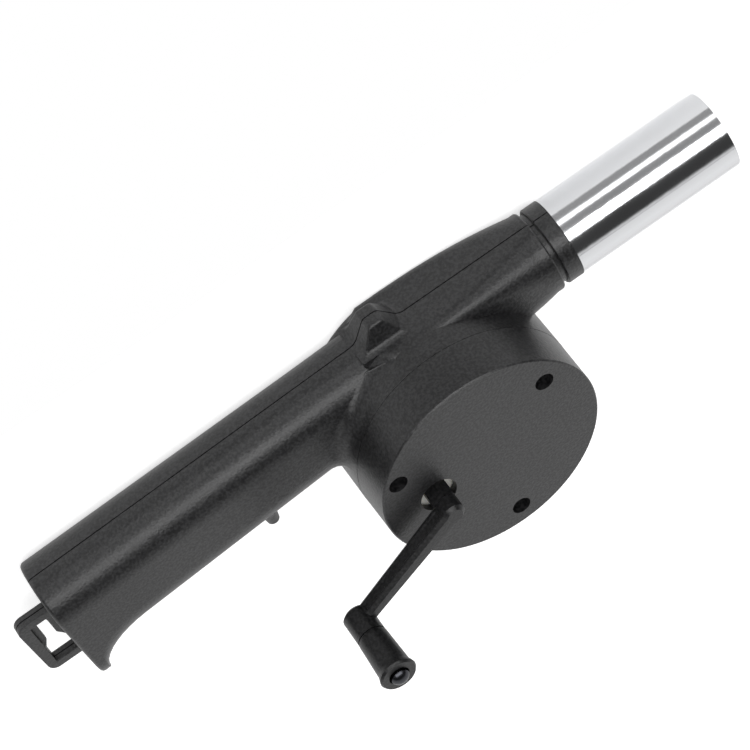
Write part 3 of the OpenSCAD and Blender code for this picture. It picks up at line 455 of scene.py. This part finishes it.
def is_outside(tree, edge, wall, away):
    """Whether most of three rays beside the edge leave the piece without meeting it."""
    side = Vector((wall.normal.x, wall.normal.y, 0)).normalized()
    a, b = (v.co for v in edge.verts)
    free = 0
    for share in (0.2, 0.5, 0.8):
        start = a.lerp(b, share) + side * STEP_OUT + Vector((0, 0, away * STEP_AWAY))
        free += tree.ray_cast(start, Vector((0, 0, away)))[0] is None
    return free >= 2


# %% Joint line function
def open_joint(bm, level, away, gap, depth):
    """Cut a shadow line along the outer edges of the flat joint face at a height."""
    tree = BVHTree.FromBMesh(bm)
    chosen = []
    for edge in bm.edges:
        wall = wall_of(edge, level)
        if wall is not None and is_outside(tree, edge, wall, away):
            chosen.append(edge)
    cut = bmesh.ops.bevel(bm, geom=chosen, offset=gap, offset_type="OFFSET", affect="EDGES",
                          segments=1, profile=0.5, material=-1, clamp_overlap=False)
    touched = {edge for face in cut["faces"] for edge in face.edges}
    moved = {}
    for edge in bm.edges:
        if edge not in touched:
            continue
        low, high = sorted(edge.verts, key=lambda v: abs(v.co.z - level))
        if abs(low.co.z - level) < ON_LEVEL and abs(high.co.z - level) > 0.5 * gap:
            inward = low.co - high.co
            inward.z = 0
            if inward.length > 0.1 * gap:
                moved[low] = inward.normalized()
    for vert, inward in moved.items():
        vert.co += inward * (depth - gap)
    print("joint line over", len(chosen), "edges")


# %% [markdown]
# ## The two body halves
# Both halves get the joint line along the grip, over the screw lug and along the barrel. The crank
# side also gets one under the gear cover, finer, because that joint is screwed down all round. The
# hang loop's edges are broken as the mould leaves them. A flat joint face is one big shape full of
# holes, so the halves keep their triangles here: a cut through joined faces would leave long
# slivers, and they show as dark lines.

# %% Broken edges
joint_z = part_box("crank_side_housing")[0].z
LOOP_START_X = -129.5 * MM
CLEAR_OF_JOINT = 1.5 * MM
BREAK_WIDTH, BREAK_ANGLE = 0.3 * MM, math.radians(35)


def break_loop_edges(bm):
    """Bevel the sharp edges of the hang loop, but not those along the joint."""
    picked = []
    for edge in bm.edges:
        middle = (edge.verts[0].co + edge.verts[1].co) / 2
        if (len(edge.link_faces) == 2 and edge.calc_face_angle(0) > BREAK_ANGLE
                and middle.x < LOOP_START_X and abs(middle.z - joint_z) > CLEAR_OF_JOINT):
            picked.append(edge)
    bmesh.ops.bevel(bm, geom=picked, offset=BREAK_WIDTH, offset_type="OFFSET", affect="EDGES",
                    segments=2, profile=0.5, material=-1, clamp_overlap=False)
    print("broke", len(picked), "edges of the hang loop")


# %% Body halves
JOINT_GAP, JOINT_DEPTH = 0.2 * MM, 0.6 * MM
RIM_GAP, RIM_DEPTH = 0.1 * MM, 0.4 * MM
COVER_RIM_R = 35.8 * MM
rim_z = min(v.co.z for v in nodes["gear_cover"].data.vertices
            if math.hypot(v.co.x, v.co.y) > COVER_RIM_R)
for name, away in (("crank_side_housing", 1), ("intake_side_housing", -1)):
    bm = welded(name, join_flat=False)
    open_joint(bm, joint_z, away, JOINT_GAP, JOINT_DEPTH)
    if away > 0:
        open_joint(bm, rim_z, -1, RIM_GAP, RIM_DEPTH)
    break_loop_edges(bm)
    finish_piece(bm, name + "_skin", name)

# %% Gear cover
bm = welded("gear_cover")
open_joint(bm, rim_z, 1, RIM_GAP, RIM_DEPTH)
finish_piece(bm, "gear_cover_skin", "gear_cover")

# %% [markdown]
# ## Crank, handle and pin
# The arm has a shallow flute along both flat sides, which saves plastic and keeps the sides from
# sinking in as they cool. Each flute is an inset rim first, then a second inset that goes down: the
# inset keeps an even rim round any outline, where a scaled copy would not. The pin's head is
# pressed into a full dome, a little wider than its blank in the construction, and the handle still
# turns free round it. Only the top of the pin is widened, so the shank keeps its fit.

# %% Crank arm
FLUTE_RIM, FLUTE_WALL, FLUTE_DEPTH = 0.65 * MM, 0.35 * MM, 0.45 * MM
bm = welded("crank_arm")
sides = sorted(bm.faces, key=lambda face: -face.calc_area())[:2]
bmesh.ops.inset_individual(bm, faces=sides, thickness=FLUTE_RIM, use_even_offset=True)
bmesh.ops.inset_individual(bm, faces=sides, thickness=FLUTE_WALL, depth=-FLUTE_DEPTH,
                           use_even_offset=True)
finish_piece(bm, "crank_arm_skin", "crank_arm")

# %% Handle and pin
finish_piece(welded("crank_handle"), "crank_handle_skin", "crank_handle")
DOME_GROWTH, DOME_HEIGHT = 1.16, 4.6 * MM
bm = welded("handle_pin")
low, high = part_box("handle_pin")
middle = (low + high) / 2
for vert in bm.verts:
    if vert.co.z > high.z - DOME_HEIGHT:
        vert.co.x = middle.x + (vert.co.x - middle.x) * DOME_GROWTH
        vert.co.y = middle.y + (vert.co.y - middle.y) * DOME_GROWTH
finish_piece(bm, "handle_pin_skin", "handle_pin")

# %% [markdown]
# ## Cross recesses
# The screws of the construction have plain heads, and a driver needs its cross. A boolean could cut
# it and would leave a ragged rim. Here the flat top is taken off and filled again round a cross
# outline, and the outline is extruded down with walls that lean inwards, as a punch leaves them.

# %% Cross recess function
ARM_SHARE, FLOOR_SHARE = 0.13, 0.7


def cross_recess(bm, top, across, depth):
    """Sink a cross into a flat round face."""
    centre, up = top.calc_center_median(), top.normal.copy()
    side = Vector((1, 0, 0))
    other = up.cross(side)
    half, arm = across / 2, across * ARM_SHARE
    outline = []
    for quarter_turns in range(4):
        for along, off in ((arm, -arm), (half, -arm), (half, arm)):
            for _ in range(quarter_turns):
                along, off = -off, along
            outline.append((along, off))
    rim = top.edges[:]
    bmesh.ops.delete(bm, geom=[top], context="FACES_ONLY")
    upper = [bm.verts.new(centre + side * a + other * b) for a, b in outline]
    lip = [bm.edges.new((upper[i - 1], upper[i])) for i in range(len(upper))]
    bmesh.ops.triangle_fill(bm, use_beauty=True, use_dissolve=False, edges=rim + lip, normal=up)
    walls = bmesh.ops.extrude_edge_only(bm, edges=lip)["geom"]
    foot = [part for part in walls if isinstance(part, bmesh.types.BMVert)]
    bmesh.ops.scale(bm, vec=(FLOOR_SHARE, FLOOR_SHARE, FLOOR_SHARE), verts=foot,
                    space=Matrix.Translation(-centre))
    bmesh.ops.translate(bm, vec=-up * depth, verts=foot)
    bmesh.ops.edgeloop_fill(bm, edges=[part for part in walls
                                       if isinstance(part, bmesh.types.BMEdge)])


# %% Screws
RECESS_DEPTH, HEAD_SHARE = 0.9 * MM, 0.6
for name, facing, across in (("housing_screws", -1, 2.7 * MM), ("cover_screws", 1, 2.3 * MM)):
    bm = welded(name)
    least_area = math.pi * (HEAD_SHARE * across) ** 2
    heads = [f for f in bm.faces if f.normal.z * facing > 0.99 and f.calc_area() > least_area]
    for top in heads:
        cross_recess(bm, top, across, RECESS_DEPTH)
    bmesh.ops.recalc_face_normals(bm, faces=bm.faces)
    gaps = len([e for e in bm.edges if len(e.link_faces) != 2])
    print(len(heads), "crosses, open edges", gaps)
    finish_piece(bm, name + "_skin", name)

# %% [markdown]
# ## The blast tube
# A strip of polished stainless sheet, rolled until its edges meet. A cylinder with a wall from
# Solidify would be a closed ring with sharp ends. Instead the wall's section, with its corners
# taken off, is spun round the tube's axis for almost a full turn, as the sheet is rolled, so the
# butt joint stays as a hairline along it.

# %% Blast tube
TUBE_WALL, HAIRLINE, JOINT_TURN = 0.5 * MM, 0.1 * MM, math.radians(77)
tube_r = (tube_high.z - tube_low.z) / 2
hairline_turn = HAIRLINE / tube_r
soft = 0.12 * MM
corners = [(tube_low.x, tube_r - soft), (tube_low.x + soft, tube_r), (tube_high.x - soft, tube_r),
           (tube_high.x, tube_r - soft), (tube_high.x, tube_r - TUBE_WALL + soft),
           (tube_high.x - soft, tube_r - TUBE_WALL), (tube_low.x + soft, tube_r - TUBE_WALL),
           (tube_low.x, tube_r - TUBE_WALL + soft)]
start = JOINT_TURN + hairline_turn / 2
bm = bmesh.new()
ring = [bm.verts.new((x, axis_y + r * math.cos(start), axis_z + r * math.sin(start)))
        for x, r in corners]
face = bm.faces.new(ring)
bmesh.ops.spin(bm, geom=[face] + face.edges[:] + face.verts[:], cent=(0, axis_y, axis_z),
               axis=(1, 0, 0), dvec=(0, 0, 0), angle=2 * math.pi - hairline_turn, steps=144,
               use_merge=False, use_duplicate=False)
open_edges = [e for e in bm.edges if len(e.link_faces) == 1]
if open_edges:
    bmesh.ops.holes_fill(bm, edges=open_edges, sides=0)
bmesh.ops.recalc_face_normals(bm, faces=bm.faces)
gaps = len([e for e in bm.edges if len(e.link_faces) != 2])
print("spun the tube, open edges", gaps)
finish_piece(bm, "blast_tube", "nozzle_tube")

# %% [markdown]
# ## View transform
# The finished scene is shown with the Standard view transform.

# %% View transform
bpy.context.scene.view_settings.view_transform = "Standard"
